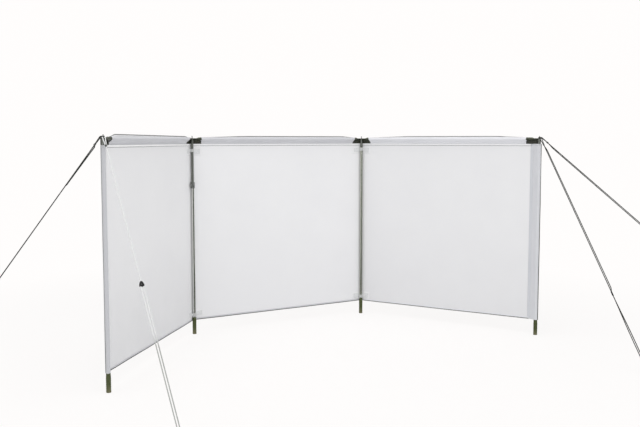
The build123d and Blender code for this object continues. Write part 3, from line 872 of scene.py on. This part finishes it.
def pocket_point(side, step, z, section):
    """A point of an end pocket: side 0 is the left end of the left bay, side 1 the right end of the right bay."""
    along, y = section[step]
    wave = drift(step * 0.17, z * 7, 6.6 + side) * 0.9 * MM + drift(step * 0.3, z * 26, side) * 0.4 * MM
    slack = sin(pi * min(max(step / (len(section) - 1), 0), 1)) ** 2
    flat = 0.0 if step <= 2 or step >= len(section) - 3 else 1.0
    direction = Vector((along - 0.018, y - 0.003)).normalized()
    along += direction.x * wave * flat * slack
    y += direction.y * wave * flat * slack
    return in_bay((0, 2)[side], mirrored(side, along), y, z)


def upright_line(side, along, y):
    """A line of points up an end pocket, from a little above its hem to a little below its top."""
    first, height = hem_level + 4 * MM, cloth_top - hem_level - 8 * MM
    return [in_bay((0, 2)[side], mirrored(side, along), y, first + height * i / 80) for i in range(81)]


for side, name in enumerate(("left", "right")):
    def place(u, v):
        step = step_at(pocket_section, v)
        z = hem_level + (cloth_top - hem_level) * u
        return pocket_point(side, step, z, pocket_section), (z, pocket_run[step])

    made = laid_grid(150, len(pocket_section) - 1, place)
    to_piece(f"pocket_{name}", made, pocket_finishes[side],
                                  (f"post_pocket_{name}",), wall=double_wall)
    trim = bmesh.new()
    outer_section = wrapped_section(pocket_seam, pocket_seam - seam_allowance, cloth_y, pocket_round, binding_lift)
    for low in (hem_level - 0.3 * MM, cloth_top - 11.7 * MM):
        def end_place(u, v):
            step = step_at(outer_section, v)
            z = low + u * end_height
            return pocket_point(side, step, z, outer_section), (z, pocket_run[step])
        laid_grid(3, len(outer_section) - 1, end_place, trim)
    pocket_trims[side].append(to_piece(f"pocket_ends_{name}", trim, pocket_finishes[side],
                                       wall=trim_wall))

    # Tape over the seam, on the inner side, with a row of stitches along both its edges.
    bay = (0, 2)[side]

    def tape_place(u, v):
        along = tape_left + (tape_right - tape_left) * v
        z = hem_level + 0.5 * MM + (cloth_top - hem_level - 1.0 * MM) * u
        x = mirrored(side, along)
        step = 1.0 - eased((along - pocket_seam + 1.5 * MM) / (3 * MM))
        ripple = drift(z * 22, along * 60, side) * 0.25 * MM
        return in_bay(bay, x, cloth_y - 0.75 * MM - step * 0.95 * MM + ripple, z), (z, along)

    made = laid_grid(160, 8, tape_place)
    pocket_trims[side].append(to_piece(f"pocket_tape_{name}", made, (seam_band_lit_finish, tape_finish)[side],
                                       wall=trim_wall))
    rows = [(upright_line(side, along, cloth_y - lift), inner_side(bay))
            for along, lift in ((tape_left + 2.5 * MM, 2.0 * MM), (tape_right - 2.5 * MM, 1.05 * MM))]
    rows += [(upright_line(side, along, cloth_y + seam_face), -inner_side(bay))
             for along in (pocket_seam - 3 * MM, pocket_seam - 9 * MM)]
    pocket_trims[side].append(stitches(f"pocket_stitches_{name}", rows))

    # Piping down the outer edge of the pocket, which the cloth turns a little round the upright.
    top_turn, foot_turn, turn_level, cord = ((98, 117, 0.42, 1.5 * MM), (140, 165, 1.05, 2.4 * MM))[side]
    line = []
    outwards = []
    for z in evenly(hem_level, cloth_top, 100):
        turn = radians(foot_turn + (top_turn - foot_turn) * eased((z - turn_level) / 0.12 + 0.5))
        out = Vector(((1, -1)[side] * cos(turn), sin(turn), 0))
        stand = tube_radius + 1.6 * MM + cord + drift(z * 5, 7.7, side) * 0.4 * MM
        axis = Vector((mirrored(side, 0), 0, z))
        line.append(bays[bay] @ (axis + out * stand))
        outwards.append(bays[bay].to_3x3() @ out)
    made = piping(line, outwards, cord, cord + piping_flange)
    # The piping's dark colour is painted shade at the pocket's outer edge.
    finish = (pale_shade_piping, olive_shade_piping)[side]
    pocket_trims[side].append(to_piece(f"pocket_piping_{name}", made, finish))


# ---------------------------------------------------------------- corner patches behind the tops of the uprights

for bay, name in enumerate(bay_names):
    made = bmesh.new()
    for side in (0, 1):
        folded = bay + side not in ends
        start = cloth_ends[bay][side] if folded else mirrored(side, 0.0)

        def place(u, v):
            z = seam_level + 0.5 * MM + (patch_top - seam_level - 0.5 * MM) * v
            finish_x = sleeve_edge(bay, z, side) + (1 if side == 0 else -1) * 6 * MM
            x = start + (finish_x - start) * u
            fold = min(stand_off(bay, x, cloth_top - 0.5), 0.0) if folded and abs(x - start) < 0.02 else 0.0
            bow = drift(x * 14, z * 14, 1.5 + side) * 0.5 * MM
            return in_bay(bay, x, cloth_y + fold + bow * eased(u * 4) * eased((1 - u) * 4), z), (x, z)

        laid_grid(24, 10, place, made)
    to_piece(f"corner_scrim_{name}", made, scrim_finish,
                                  (f"corner_patches_{name}",), wall=1.2 * MM)


# ---------------------------------------------------------------- straps that hold uprights 2 and 3

strap_wall = 1.2 * MM
strap_tail = 74 * MM
gathered = 0.62          # height left where the strap is gathered round the upright
strap_plane = cloth_y - 0.8 * MM - 0.3 * MM - strap_wall / 2
upper_radius = (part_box("post_2_upper_tube")[1].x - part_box("post_2_upper_tube")[0].x) / 2
strap_tubes = {1: (upper_radius, tube_radius), 2: (tube_radius, tube_radius)}


box_and_cross = ((0, 1), (1, 2), (2, 3), (3, 0), (0, 2), (3, 1))
patch_start, patch_length, patch_height = 10 * MM, 75 * MM, 60 * MM
patch_edges = (((0.0, 0.96), (0.05, 0.05)), ((0.0, 0.96), (0.95, 0.95)), ((0.96, 0.96), (0.05, 0.95)))
fold_tape_width = 36 * MM


def strap_frame(post):
    """x across the fold and y outwards, on the line that halves it."""
    return Matrix.Translation(posts[post]) @ Matrix.Rotation(headings[post] + half_folds[post], 4, "Z")


def strap_route(post, radius):
    """Centre line of a strap in its own frame, from the left tail round the upright to the right tail."""
    half = half_folds[post]
    wrap = radius + 0.3 * MM + strap_wall / 2
    fold_y = strap_plane / cos(half)
    neck_y = fold_y - wrap * tan(half)
    tail = Vector((strap_tail * cos(half), fold_y - strap_tail * sin(half), 0))
    neck = Vector((wrap, neck_y, 0))
    along = (tail - neck).normalized()
    bend = min(4 * MM, neck_y * 0.8)
    right = [tail + (neck - tail) * i / 6 for i in range(6)]
    start, stop = neck + along * bend, neck - Vector((0, bend, 0))
    right += [start * (1 - t) ** 2 + neck * 2 * t * (1 - t) + stop * t * t for t in (0, 0.2, 0.4, 0.6, 0.8, 1)]
    arc = [Vector((wrap * cos(angle), -wrap * sin(angle), 0)) for angle in [pi * i / 24 for i in range(1, 24)]]
    right.append(Vector((wrap, 0, 0)))
    left = [Vector((-point.x, point.y, 0)) for point in reversed(right)]
    return right + arc + left


for post in (1, 2):
    made = bmesh.new()
    place_frame = strap_frame(post)
    rows = []
    for level, radius in zip(strap_levels, strap_tubes[post]):
        route = strap_route(post, radius)
        run = lengths_along(route)
        pull = 1 if level == max(strap_levels) else -1

        def place(u, v):
            step = step_at(route, u)
            point = route[step]
            tight = eased(min(step, len(route) - 1 - step) / 11)
            height = strap_height * (1 - (1 - gathered) * tight)
            gather = 0.9 * MM * tight * (0.5 - 0.5 * cos(6 * pi * v))
            away = Vector((point.x, min(point.y, 0.0), 0)).normalized() * gather
            rise = level + (v - 0.5) * height + pull * (strap_height - height) / 2
            return place_frame @ (point + away + Vector((0, 0, rise))), (run[step] - run[-1] / 2, v * strap_height)

        laid_grid(len(route) - 1, 18, place, made)
        for sign in (1, -1):
            tail, neck = route[0].copy(), route[5].copy()
            tail.x, neck.x = sign * tail.x, sign * neck.x
            square_on = Vector((-sign * (neck.y - tail.y), sign * (neck.x - tail.x), 0))
            inwards = (place_frame.to_3x3() @ square_on).normalized()
            if inwards.dot(place_frame.to_3x3() @ Vector((0, -1, 0))) < 0:
                inwards = -inwards
            first = tail + (neck - tail) * 0.06
            last = tail + (neck - tail) * 0.62
            low, high = Vector((0, 0, level - strap_height * 0.4)), Vector((0, 0, level + strap_height * 0.4))
            corners = [first + low, last + low, last + high, first + high]
            lift = inwards * (strap_wall / 2 + 0.05 * MM)
            line = [place_frame @ corner + lift for corner in corners]
            rows += [([line[a], line[b]], inwards) for a, b in box_and_cross]
    to_piece(f"straps_{post + 1}", made, strap_finish, (f"post_{post + 1}_straps",), wall=strap_wall)
    stitches(f"strap_stitches_{post + 1}", rows, dark_thread_finish, length=3.0 * MM, gap=1.2 * MM)

    # Reinforcing patches on the cloth behind the straps.
    for bay, side in ((post - 1, 1), (post, 0)):
        patches = bmesh.new()
        patches.loops.layers.uv.new("metres")
        edge_rows = []
        corner = cloth_ends[bay][side]
        sign = 1 if side == 0 else -1
        for level in strap_levels:
            def patch_place(u, v):
                x = corner + sign * (patch_start + patch_length * u)
                z = level + (v - 0.5) * patch_height
                return on_cloth(bay, x, z + droop(bay, x, z), -cloth_wall / 2 - 0.25 * MM), (x, z)
            laid_grid(18, 12, patch_place, patches)
            for across, up in patch_edges:
                line = [patch_place(u, v)[0] + inner_side(bay) * 0.3 * MM
                        for u, v in zip(evenly(*across, 10), evenly(*up, 10))]
                edge_rows.append((line, inner_side(bay)))
        cloth_trims[bay].append(to_piece(f"strap_patches_{post + 1}_{bay_names[bay]}", patches, patch_tape_finish,
                                         wall=thin_wall))
        cloth_trims[bay].append(stitches(f"patch_stitches_{post + 1}_{bay_names[bay]}", edge_rows))

    # Tape down the outside of the fold.
    def fold_place(u, v):
        z = hem_level + 1 * MM + (cloth_top - hem_level - 2 * MM) * v
        across = (u - 0.5) * fold_tape_width
        bay = post - 1 if across < 0 else post
        x = cloth_ends[bay][1] + across if across < 0 else cloth_ends[bay][0] + across
        return on_cloth(bay, x, z, cloth_wall / 2 + 0.3 * MM), (across, z)

    made = laid_grid(18, 120, fold_place)
    cloth_trims[post].append(to_piece(f"fold_tape_{post + 1}", made, tape_finish, wall=trim_wall))


# ---------------------------------------------------------------- the bays' and pockets' ends, read again and left unused

for bay, name in enumerate(bay_names):
    left, right = cloth_ends[bay]
    low, high = sleeve_boxes[bay]
for side, name in enumerate(("left", "right")):
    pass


# ---------------------------------------------------------------- uprights

def upright_foot(made, origin):
    """Moulded foot: a domed toe, three shallow grips, a tapered neck and a rounded lip round the tube."""
    corners = [vertex.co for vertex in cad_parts["post_feet"].data.vertices]
    height = max(corner.z for corner in corners if (corner.xy - origin.xy).length < 0.1)
    body = 14.9 * MM
    profile = [(0, 0), (body - 2.2 * MM, 0), (body - 0.6 * MM, 0.7 * MM), (body, 2.4 * MM)]
    for ring in range(5):
        base = (16 + 12 * ring) * MM
        profile += [(body, base), (body - 0.9 * MM, base + 1.2 * MM),
                    (body - 0.9 * MM, base + 3.8 * MM), (body, base + 5.0 * MM)]
    profile += [(body, height - 27 * MM), (body - 1.5 * MM, height - 6 * MM), (body - 0.7 * MM, height - 5 * MM),
                (body - 0.7 * MM, height - 1.6 * MM), (body - 1.5 * MM, height - 0.3 * MM), (body - 2.2 * MM, height),
                (12.2 * MM, height), (12.2 * MM, height - 12 * MM)]
    turned(made, profile, Matrix.Translation(origin), 40)


made = bmesh.new()
for origin in posts:
    upright_foot(made, origin)
to_piece("feet", made, foot_finish, ("post_feet",), smooth_below=32)

# Upright 3's lower tube takes the darker copy of the steel, which is painted shade.
for number in (1, 2, 3, 4):
    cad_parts[f"post_{number}_lower_tube"].data.materials[0] = shaded_tube_finish if number == 3 else tube_finish
    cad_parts[f"post_{number}_upper_tube"].data.materials[0] = upper_tube_finish
for bay, name in enumerate(bay_names):
    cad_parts[f"top_rail_{name}"].data.materials[0] = shaded_rail_finishes[bay]
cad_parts["post_spikes"].data.materials[0] = bare_steel_finish
softened("bushes", "post_bushes", nylon_finish, edge=0.5 * MM)
softened("clamp_collar", "post_2_clamp", clamp_finish, edge=0.8 * MM)
softened("clamp_knob_and_nut", "post_2_clamp_screw", clamp_finish, edge=0.9 * MM)

# Spring buttons in the tubes.
made = bmesh.new()
button_levels = {1: (0.918,), 2: (1.070, 0.909)}
button_profile = [(0, 2.6 * MM), (1.8 * MM, 2.2 * MM), (3.0 * MM, 1.2 * MM),
                  (3.2 * MM, 0.2 * MM), (4.4 * MM, 0.1 * MM), (4.4 * MM, -0.4 * MM)]
for post, levels in button_levels.items():
    out = strap_frame(post).to_3x3() @ Vector((0, -1, 0))
    for level in levels:
        seat = posts[post] + out * (tube_radius - 0.6 * MM) + Vector((0, 0, level))
        turned(made, button_profile, pointing(seat, out), 24)
to_piece("spring_buttons", made, bare_steel_finish)


# ---------------------------------------------------------------- guy lines, runners and pegs

# Name, upright, turn off its bay's run in degrees, reach of the peg, and the runner's place along the line.
guys = (
    ("left_outer", 0, -39.2, 1.2, 0.62),
    ("left_inner", 0, 41.8, 1.2, 0.505),
    ("right_inner", 3, -36.6, 1.2, 0.69),
    ("right_outer", 3, 33.6, 1.8, 0.62),
)
cord_radius = 3.0 * MM
guy_gap = 0.3 * MM
eye_run = 14 * MM
eye_length = 62 * MM
runner_length = 30 * MM
runner_bore = 8.7 * MM     # how deep the cords go into a runner, from either end
runner_dip = 3 * MM        # how deep a second strand goes
tail_steps = 240
strand_shares = (0, 0.04, 0.15, 0.3, 0.45, 0.6, 0.75, 0.9, 0.97)
loop_level = 16 * MM
strand_half = 6.8 * MM
ring_radius = 7.3 * MM
spike_eye = 2.5 * MM
lit_guys = ("left_inner",)
runner_turns = {"right_inner": radians(-47)}
# Second strands laid beside a line: side turned about the line, share of its run, distance off it at the two ends.
second_strands = {
    "left_outer": (radians(110), 0.26, 7.5 * MM, 2.5 * MM),
    "right_inner": (radians(223), 1.0, 6.5 * MM, 9.0 * MM),
    "right_outer": (radians(101), 1.0, 6.5 * MM, 9.0 * MM),
}
turned_runners = []
ferrule_profile = [(0, -8 * MM), (4.4 * MM, -8 * MM), (5.6 * MM, -7.2 * MM), (6.2 * MM, -5 * MM), (6.4 * MM, 0),
                   (6.2 * MM, 4 * MM), (4.6 * MM, 7 * MM), (3.2 * MM, 8 * MM), (0, 8 * MM)]


def half_turn(centre, start, onwards, radius):
    """Control points of a half circle about a centre, from start to its far side, round by onwards."""
    wide = radius / cos(pi / 12)
    return [centre + (start * cos(pi * i / 6) + onwards * sin(pi * i / 6)) * wide for i in range(1, 6)]


ferrules = bmesh.new()
for name, post, bearing, reach, share in guys:
    end_heading = headings[0] + pi if post == 0 else headings[2]
    out = Vector((cos(end_heading + radians(bearing)), sin(end_heading + radians(bearing)), 0))
    across = Vector((out.y, -out.x, 0))
    eyes_top = rail_level + (spike_eye if post == 0 else 0.0)
    stacked = (2 * cord_radius + guy_gap) if name.endswith("outer") else 0.0
    ring = posts[post] + Vector((0, 0, eyes_top + guy_gap + cord_radius + stacked))
    bend = ring + out * eye_run
    loop = posts[post] + out * reach + Vector((0, 0, loop_level))
    line = (loop - bend).normalized()
    runner_start = bend + (loop - bend) * share
    ferrule = bend + line * eye_length
    leg = across * (cord_radius + guy_gap / 2)
    turn = half_turn(ring, across, -out, ring_radius)
    side = across * ring_radius
    eye = [ferrule + leg, ferrule + leg - line * 8 * MM, bend + side + line * 16 * MM, bend + side,
           ring + side + out * 2 * MM, *turn, ring - side + out * 2 * MM,
           bend - side, bend - side + line * 16 * MM, ferrule - leg - line * 8 * MM, ferrule - leg]
    made = bmesh.new()
    round_bar(made, smooth_line(eye), cord_radius)
    upper_end = runner_start + line * runner_bore
    round_bar(made, evenly(ferrule, upper_end, 24), cord_radius)
    if name in second_strands:
        tail_side, tail_share, first_gap, last_gap = second_strands[name]
        tail_end = ferrule + (runner_start + line * runner_dip - ferrule) * tail_share
        beside = Matrix.Rotation(tail_side, 3, line) @ across
        points = zip(evenly(ferrule, tail_end, tail_steps), evenly(first_gap, last_gap, tail_steps))
        tail = [point + beside * (gap * eased(i / 12) * eased((tail_steps - i) / 8 + 0.2))
                for i, (point, gap) in enumerate(points)]
        round_bar(made, tail, cord_radius)
    strand_start = runner_start + line * (runner_length - runner_bore)
    strand = across * strand_half
    strand_run = (loop - strand_start).length
    lines = []
    for sign in (1, -1):
        way = []
        for t in strand_shares:
            turn = runner_turns.get(name, 0.0) * (1 - eased((t - 0.04) / 0.5))
            aside = Matrix.Rotation(turn, 3, line) @ strand
            way.append(strand_start + line * strand_run * t + aside * sign)
        lines.append(way)
    round_end = half_turn(loop, across, line, strand_half)
    doubled = [*lines[0], loop + strand, *round_end, loop - strand, *reversed(lines[1])]
    round_bar(made, smooth_line(doubled), cord_radius)
    if name in runner_turns:
        turned_runners.append((runner_start, line, runner_turns[name]))
    # The pale cord is the lit copy and the dark cord the shaded copy: painted light and shade.
    finish, cord_slot = (lit_cord_finish, "cord_light") if name in lit_guys else (shaded_cord_finish, "cord")
    to_piece(f"guy_{name}", made, finish, (f"guy_line_{name}",), smooth_below=60)
    turned(ferrules, ferrule_profile, pointing(ferrule, line), 28)
to_piece("guy_ferrules", ferrules, nylon_finish)

for end in ("left", "right"):
    slides = softened(f"slides_{end}", f"runners_{end}", runner_finish, edge=1.2 * MM, segments=3)
    for start, line, turn in turned_runners:
        about = Matrix.Translation(start) @ Matrix.Rotation(turn, 4, line) @ Matrix.Translation(-start)
        for vertex in slides.data.vertices:
            if (vertex.co - start).length < 2 * runner_length:
                vertex.co = about @ vertex.co
    softened(f"ground_pegs_{end}", f"pegs_{end}", bare_steel_finish, edge=0.85 * MM, segments=1)


# ---------------------------------------------------------------- studio

white = (1.0, 0.985, 0.978, 1.0)
floor_middle = (0.7, -0.5, 0.0)
fade_start, fade_end = 1.8, 4.4     # how far from its middle the floor turns to plain white
room_light = 0.62


def seen_directly(tree):
    """1 for what the camera sees, straight or in a reflection or through glass."""
    path = tree.nodes.new("ShaderNodeLightPath")
    either = worked(tree, "MAXIMUM", path.outputs["Is Camera Ray"], path.outputs["Is Glossy Ray"])
    return worked(tree, "MAXIMUM", either, path.outputs["Is Transmission Ray"])


def plain_floor():
    """A pale floor that keeps the shadow under the windbreak and runs out to plain white."""
    made = bmesh.new()
    bmesh.ops.create_grid(made, x_segments=8, y_segments=8, size=60.0)
    floor = linked("floor", as_mesh("floor", made))
    material, tree, shader = new_finish("floor_paint")
    shader.inputs["Base Color"].default_value = (0.88, 0.875, 0.87, 1.0)
    shader.inputs["Roughness"].default_value = 0.95
    shader.inputs["Specular IOR Level"].default_value = 0.1
    centred = add_node(tree, "ShaderNodeVectorMath", {0: object_coordinates(tree), 1: floor_middle},
                       operation="SUBTRACT")
    away = add_node(tree, "ShaderNodeVectorMath", {0: centred.outputs[0]}, operation="LENGTH").outputs["Value"]
    far = ranged(tree, away, fade_start, fade_end, 0.84, interpolation_type="SMOOTHSTEP")
    share = worked(tree, "MULTIPLY", far, seen_directly(tree))
    plain = add_node(tree, "ShaderNodeEmission", {"Color": white, "Strength": 1.0})
    mixed = add_node(tree, "ShaderNodeMixShader", {0: share, 1: shader.outputs[0], 2: plain.outputs[0]})
    tree.links.new(mixed.outputs[0], tree.nodes["Material Output"].inputs["Surface"])
    floor.data.materials.append(material)


plain_floor()

world = bpy.data.worlds.new("studio")
scene.world = world
world.use_nodes = True
sky = world.node_tree
background = sky.nodes["Background"]
background.inputs["Color"].default_value = (1.0, 1.0, 1.0, 1.0)
background.inputs["Strength"].default_value = room_light
seen = add_node(sky, "ShaderNodeBackground", {"Color": white, "Strength": 1.0})
chosen = add_node(sky, "ShaderNodeMixShader", {0: seen_directly(sky), 1: background.outputs[0], 2: seen.outputs[0]})
sky.links.new(chosen.outputs[0], sky.nodes["World Output"].inputs["Surface"])


def soft_light(name, place, aim, size, power):
    data = bpy.data.lights.new(name, "AREA")
    data.shape = "RECTANGLE"
    data.size, data.size_y = size
    data.energy = power
    lamp = linked(name, data)
    lamp.location = place
    lamp.rotation_mode = "QUATERNION"
    lamp.rotation_quaternion = (Vector(aim) - Vector(place)).to_track_quat("-Z", "Y")


soft_light("overhead", (0.0, -1.0, 6.5), (0.6, 0.0, 0.0), (7.0, 5.0), 170)
soft_light("front", (-0.4, -8.5, 3.4), (0.7, 0.0, 0.7), (9.0, 2.5), 172)
soft_light("key", (-5.5, -5.0, 4.0), (0.6, 0.0, 0.8), (4.0, 3.0), 50)


def card(name, corners):
    """A dark card that only reflections see."""
    made = bmesh.new()
    made.faces.new([made.verts.new(corner) for corner in corners])
    piece = linked(name, as_mesh(name, made))
    material, tree, shader = new_finish(f"{name}_paint")
    glow = add_node(tree, "ShaderNodeEmission", {"Color": (0.06, 0.065, 0.05, 1.0), "Strength": 1.0})
    tree.links.new(glow.outputs[0], tree.nodes["Material Output"].inputs["Surface"])
    piece.data.materials.append(material)
    piece.visible_camera = piece.visible_diffuse = piece.visible_shadow = piece.visible_transmission = False


card("front_card", [(-6.5, -12, 0), (14, -12, 0), (14, -12, 9), (-6.5, -12, 9)])
card("right_card", [(10, -12, 0), (10, 6, 0), (10, 6, 9), (10, -12, 9)])
card("ground_card", [(-6.5, -12, 0.02), (10, -12, 0.02), (10, -0.25, 0.02), (-0.2, -0.25, 0.02), (-1.6, -3, 0.02)])

eye_heading, eye_dip = 59.375, 5.017     # degrees: where the camera looks in plan, and how far down
camera_data = bpy.data.cameras.new("view")
camera_data.lens = 47.09
camera_data.sensor_width = 36.0
camera_data.clip_end = 200.0
camera = linked("view", camera_data)
camera.location = (-2.4156, -5.9883, 1.4965)
camera.rotation_euler = (radians(90 - eye_dip), 0.0, radians(eye_heading - 90))
scene.camera = camera
scene.view_settings.view_transform = "Standard"
